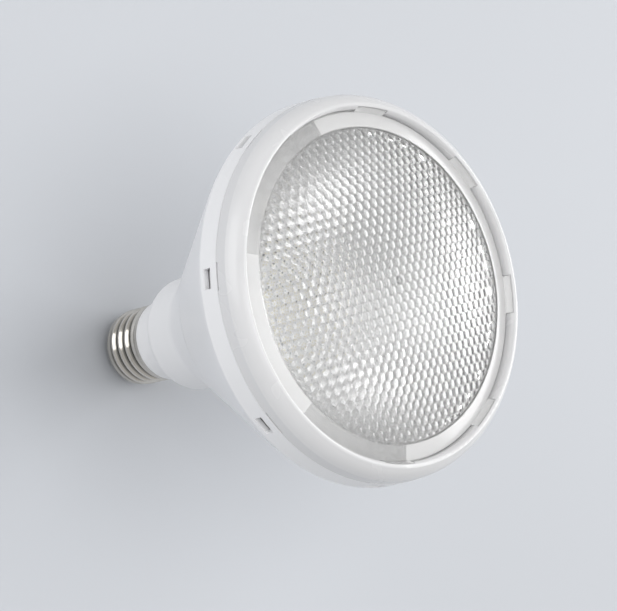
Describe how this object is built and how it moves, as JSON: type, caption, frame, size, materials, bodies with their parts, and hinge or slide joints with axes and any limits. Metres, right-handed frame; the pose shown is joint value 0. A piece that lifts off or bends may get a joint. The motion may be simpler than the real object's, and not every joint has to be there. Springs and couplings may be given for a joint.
{
  "type": "par spotlight bulb",
  "caption": "White cone-shaped reflector lamp with a screw cap, a bezel held by clips and a clear domed lens covered in hexagonal pillows.",
  "frame": {"origin": "tip of the centre contact, on the lamp's axis", "axes": "+Z along the lamp's axis from the cap to the lens; +X and +Y across the lens, with a bezel clip 42 degrees from +X"},
  "size_m": [0.1218, 0.1218, 0.1378],
  "materials": {
    "cap_metal": "nickel plated, rolled",
    "cap_glass": "black glass-like insulator",
    "contact_metal": "dull pressed rivet",
    "housing_plastic": "satin moulded",
    "bezel_plastic": "satin moulded, faintly translucent",
    "lens_plastic": "clear polycarbonate, hexagonal pillows",
    "gasket_rubber": "silicone",
    "reflector_coating": "vacuum metallised",
    "sink_metal": "pressed",
    "screw_steel": "zinc plated",
    "pad_rubber": "silicone pad",
    "led_board_metal": "white solder mask",
    "led_phosphor": "phosphor gel",
    "connector_plastic": "moulded",
    "driver_laminate": "glass-epoxy board",
    "ferrite": "ground ferrite",
    "winding_tape": "polyester tape",
    "capacitor_sleeve": "shrink sleeve",
    "film_block": "moulded block",
    "chip_epoxy": "moulded epoxy",
    "varistor_coating": "dipped epoxy",
    "resistor_coating": "dipped",
    "lead_black": "insulated wire",
    "lead_white": "insulated wire",
    "lead_red": "insulated wire"
  },
  "bodies": {
    "root": {"screw_shell": "cap_metal", "cap_insulator": "cap_glass", "centre_contact": "contact_metal", "rear_housing": "housing_plastic", "front_housing": "housing_plastic", "bezel_ring": "bezel_plastic", "lens": "lens_plastic", "lens_gasket": "gasket_rubber", "reflector": "reflector_coating", "heat_sink": "sink_metal", "heat_sink_screws": "screw_steel", "thermal_pad": "pad_rubber", "led_board": "led_board_metal", "led_packages": "led_phosphor", "board_screws": "screw_steel", "lead_connector": "connector_plastic", "driver_board": "driver_laminate", "transformer_core": "ferrite", "transformer_winding": "winding_tape", "bulk_capacitor": "capacitor_sleeve", "output_capacitor": "capacitor_sleeve", "film_capacitor": "film_block", "bridge_rectifier": "chip_epoxy", "switching_chip": "chip_epoxy", "varistor": "varistor_coating", "fuse_resistor": "resistor_coating", "live_lead": "lead_black", "neutral_lead": "lead_white", "positive_lead": "lead_red", "negative_lead": "lead_black"}
  },
  "joints": []
}
